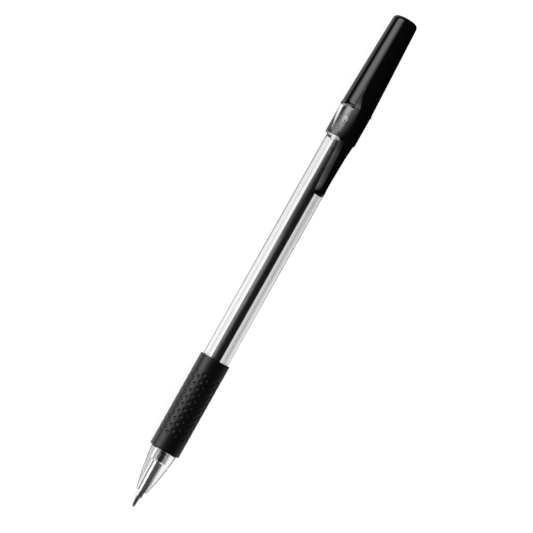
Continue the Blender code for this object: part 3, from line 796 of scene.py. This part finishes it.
def make_shell(finish):
    """The cap's shell: a drafted cup with a beaded lip, the clip's root growing out of it."""
    edge = 0.10
    seat_end, seat_slope = COLLAR_END + 0.7, 0.4
    pocket_lead, pocket_bevel = 0.1, 0.3
    cavity_end = CAP_END - CAP_END_WALL
    liner_seat = LINER_END + FACE_GAP
    liner_bore = CAP_BORE_R - CAP_DRAFT * (liner_seat - LIP_FRONT)
    mouth_bore = SEAT_R + SEAT_GAP
    near = np.radians(np.linspace(-ROOT_SECTOR, ROOT_SECTOR, ROOT_SIDES))
    far = np.radians(np.linspace(ROOT_SECTOR, 360 - ROOT_SECTOR, SHELL_SIDES))[1:-1]
    angles = np.concatenate([near, far])
    signed = (angles + math.pi) % (2 * math.pi) - math.pi
    rings = []

    def ring(x, r, root=True):
        """Adds a ring of the shell, plain or under the clip's root."""
        radii = np.full(len(angles), float(r))
        if root and x < ROOT_END:
            inset = LIP_R - r if x < LIP_FRONT + edge else 0
            radii = softly_over(radii, root_radius(x, signed) - inset)
        rings.append([on_axis(x, size, a) for size, a in zip(radii, angles)])

    ring(CAP_END, 0, False)
    for x, r in arc(TAPER_END, CAP_END_R - CAP_END_ROUNDING, CAP_END_ROUNDING, 0, 86, 14):
        ring(x, r, False)
    for x in np.linspace(TAPER_END - 0.4, ROOT_END, 12):
        ring(x, shell_radius(x), False)
    for x in np.linspace(ROOT_END, TAPER_FRONT, 34)[1:]:
        ring(x, shell_radius(x))
    for x in np.linspace(TAPER_FRONT, LIP_FRONT + LIP_WIDTH, 18)[1:]:
        ring(x, shell_radius(x))
    for x, r in arc(LIP_FRONT + edge, LIP_R - edge, edge, 90, 180, 5):
        ring(x, r)
    inside = [(LIP_FRONT, mouth_bore), (seat_end, mouth_bore), (seat_end + seat_slope, CAP_BORE_R)]
    inside += [(liner_seat, liner_bore), (liner_seat, CAP_POCKET_R + pocket_lead)]
    inside += [(cavity_end - pocket_bevel, CAP_POCKET_R), (cavity_end, CAP_POCKET_R - pocket_bevel)]
    inside += [(cavity_end, 0)]
    for x, r in inside:
        ring(x, r, False)
    shell = finished("cap_shell_gloss", grid_mesh("cap_shell", rings, wrap=False), finish)
    fitted(shell, "cap", "cap_shell")


# The camera

VIEW_LEAN = math.radians(32.5)
TOWARD_CAMERA = Vector((0, math.sin(VIEW_LEAN), math.cos(VIEW_LEAN)))
RIGHT_OF_PEN = Vector((0, -math.cos(VIEW_LEAN), math.sin(VIEW_LEAN)))
PEN_ANGLE = math.radians(60.45)
IMAGE_SIZE = 533
MM_PER_PIXEL = 0.288
CAMERA_DISTANCE = 540
CAMERA_TILT = math.radians(2.0)
AIM_PLACE = -1.65
AIM_ASIDE = -0.35
PEN_LEAN = math.radians(-0.14)
SENSOR = 36


def make_camera():
    """The camera, a little nearer to the writing end, with the pen leaning across the frame."""
    aim = Vector((AIM_PLACE, 0, AXIS_HEIGHT)) + RIGHT_OF_PEN * AIM_ASIDE
    foot = aim - Vector((CAMERA_DISTANCE * math.tan(CAMERA_TILT), 0, 0))
    spot = foot + TOWARD_CAMERA * CAMERA_DISTANCE
    forward = (aim - spot).normalized()
    straight = (Vector((1, 0, 0)) - forward * forward.x).normalized()
    across = forward.cross(straight)
    along = straight * math.cos(PEN_LEAN) - across * math.sin(PEN_LEAN)
    aside = across + straight * math.sin(PEN_LEAN)
    right = along * math.cos(PEN_ANGLE) + aside * math.sin(PEN_ANGLE)
    up = along * math.sin(PEN_ANGLE) - aside * math.cos(PEN_ANGLE)
    lens = bpy.data.cameras.new("camera")
    lens.sensor_width = SENSOR
    lens.lens = (aim - spot).length / (MM_PER_PIXEL * IMAGE_SIZE) * SENSOR
    lens.clip_start = 0.01
    lens.clip_end = 10
    camera = bpy.data.objects.new("camera", lens)
    bpy.context.scene.collection.objects.link(camera)
    turn = Matrix((right, up, -forward)).transposed().to_4x4()
    camera.matrix_world = Matrix.Translation(spot * MM) @ turn
    bpy.context.scene.camera = camera


# The light

# A pair is where a part of the light fades in or out. Most are angles round the pen, in degrees from
# the camera's side and negative to the left. SOFTBOX_FRONT, SOFTBOX_REAR and POINT_LEAN are how far a
# direction leans along the pen, from -1 towards the writing end to 1
WORLD_SHADE = 0.8
SOFTBOX_STRENGTH = 4.6
SOFTBOX_LEFT = (-85, -58)
SOFTBOX_RIGHT = (-46, -9)
SOFTBOX_FRONT = (-0.50, 0.06)
SOFTBOX_REAR = (0.40, 0.55)
SOFTBOX_TURN = 42
SOFTBOX_PIVOT = 0.22
BACKDROP_STRENGTH = 1.25
BACKDROP_EDGE = (108, 124)
SHADE_DEPTH = 0.42
SHADE_IN = (60, 100)
SHADE_OUT = (150, 178)
POINT_LEAN = (-0.04, 0.06)
RIM_STRENGTH = 1.0
POINT_RIM_STRENGTH = 0.9
RIM_EDGE = (-119, -94)
REFLECTOR_STRENGTH = 0.65
REFLECTOR_EDGE = (55, 130)
REAR_DIMMING = 0.8
REAR_EDGE = (140, 152)
FRONT_STRENGTH = 0.055
FRONT_THROUGH_STRENGTH = 0.07
FRONT_DIMMING = 0.7
FRONT_EDGE = (40, 100)
FILL_STRENGTH = 0.30


def make_world():
    """White behind the pen for its clear pieces, shaded a little on the right. A softbox and a rim light
    it from the left, a reflector lights the point from the right, and the front and the fill are low."""
    world = bpy.data.worlds.new("studio")
    bpy.context.scene.world = world
    graph = Graph(world)
    way = graph.node("ShaderNodeTexCoord", output="Generated")

    def part(direction):
        """How far a ray points in a direction, from -1 to 1."""
        inputs = {0: way, 1: tuple(direction)}
        return graph.node("ShaderNodeVectorMath", {"operation": "DOT_PRODUCT"}, inputs, output="Value")

    seen = graph.node("ShaderNodeLightPath", output="Is Camera Ray")
    soft = graph.node("ShaderNodeLightPath", output="Is Diffuse Ray")
    through = graph.node("ShaderNodeLightPath", output="Is Transmission Ray")
    toward, right, along = part(TOWARD_CAMERA), part(RIGHT_OF_PEN), part(Vector((1, 0, 0)))
    angle = graph.node("ShaderNodeMath", {"operation": "ARCTAN2"}, {0: right, 1: toward})
    angle = angle * (180 / math.pi)
    turned_angle = angle - (along - SOFTBOX_PIVOT) * SOFTBOX_TURN
    softbox = turned_angle.rise(*SOFTBOX_LEFT) * (1 - turned_angle.rise(*SOFTBOX_RIGHT))
    softbox = softbox * along.rise(*SOFTBOX_FRONT) * (1 - along.rise(*SOFTBOX_REAR))
    shade = angle.rise(*SHADE_IN) * (1 - angle.rise(*SHADE_OUT)) * SHADE_DEPTH
    behind = abs(angle).rise(*BACKDROP_EDGE)
    backdrop = behind * (1 - shade) * BACKDROP_STRENGTH
    near_point = 1 - along.rise(*POINT_LEAN)
    beside = 1 - abs(angle).rise(*REAR_EDGE) * REAR_DIMMING
    rim = (1 - angle.rise(*RIM_EDGE)) * beside * (near_point * POINT_RIM_STRENGTH + RIM_STRENGTH)
    reflector = angle.rise(*REFLECTOR_EDGE) * near_point * beside * (1 - through * behind)
    front = 1 - abs(angle).rise(*FRONT_EDGE) * FRONT_DIMMING
    glow = softbox * SOFTBOX_STRENGTH + through * backdrop + (1 - through) * rim
    glow = glow + reflector * REFLECTOR_STRENGTH + soft * FILL_STRENGTH
    glow = glow + front * (through * FRONT_THROUGH_STRENGTH + FRONT_STRENGTH)
    strength = glow * (1 - seen) + seen
    light = graph.node("ShaderNodeBackground", inputs={"Color": grey(WORLD_SHADE), "Strength": strength})
    graph.node("ShaderNodeOutputWorld", inputs={"Surface": light})


# The floor

FLOOR_REACH = 1500
FLOOR_DROP = 0.1
FLOOR_GLOW = 0.82
FLOOR_ALBEDO = 0.75


def make_floor():
    """A white floor that takes the pen's soft shadow. Gloss and clear plastic show the world instead."""
    mesh = bpy.data.meshes.new("floor")
    bm = bmesh.new()
    bmesh.ops.create_grid(bm, x_segments=1, y_segments=1, size=FLOOR_REACH * MM)
    bm.to_mesh(mesh)
    bm.free()
    floor = bpy.data.objects.new("floor", mesh)
    floor.location.z = -FLOOR_DROP * MM
    bpy.context.scene.collection.objects.link(floor)
    made, graph = material("floor_paper")
    seen = graph.node("ShaderNodeLightPath", output="Is Camera Ray")
    glow = graph.node("ShaderNodeEmission", inputs={"Strength": seen * FLOOR_GLOW})
    paper = graph.node("ShaderNodeBsdfDiffuse", inputs={"Color": grey(FLOOR_ALBEDO)})
    graph.surface(graph.node("ShaderNodeAddShader", inputs={0: glow, 1: paper}))
    mesh.materials.append(made)
    floor.visible_glossy = False
    floor.visible_transmission = False


# The pen, its stage and the render's own settings

black = black_moulding("gloss_black", roughness=0.055)
make_ball(turned_metal("ball_steel", BALL_STEEL, roughness=0.20, inked_from=TAIL_END))
make_point(turned_metal("nickel_silver", NICKEL_SILVER, roughness=0.26, inked_from=TUBE_FRONT))
make_tube(tube_plastic())
make_ink(ink_paste())
make_nose(clear_styrene("nose_styrene", NOSE_TINT, waviness=0.002))
make_grip(grip_rubber())
make_barrel(clear_styrene("barrel_styrene", BARREL_TINT, waviness=0.0005))
make_plug(black_moulding("satin_black", roughness=0.28))
make_collar(clear_styrene("collar_styrene", COLLAR_TINT, waviness=0.001))
make_shell(black)
make_clip(black)

make_floor()
make_world()
make_camera()
scene = bpy.context.scene
scene.view_settings.view_transform = "Standard"
scene.cycles.max_bounces = 24
scene.cycles.transmission_bounces = 20
scene.cycles.glossy_bounces = 8
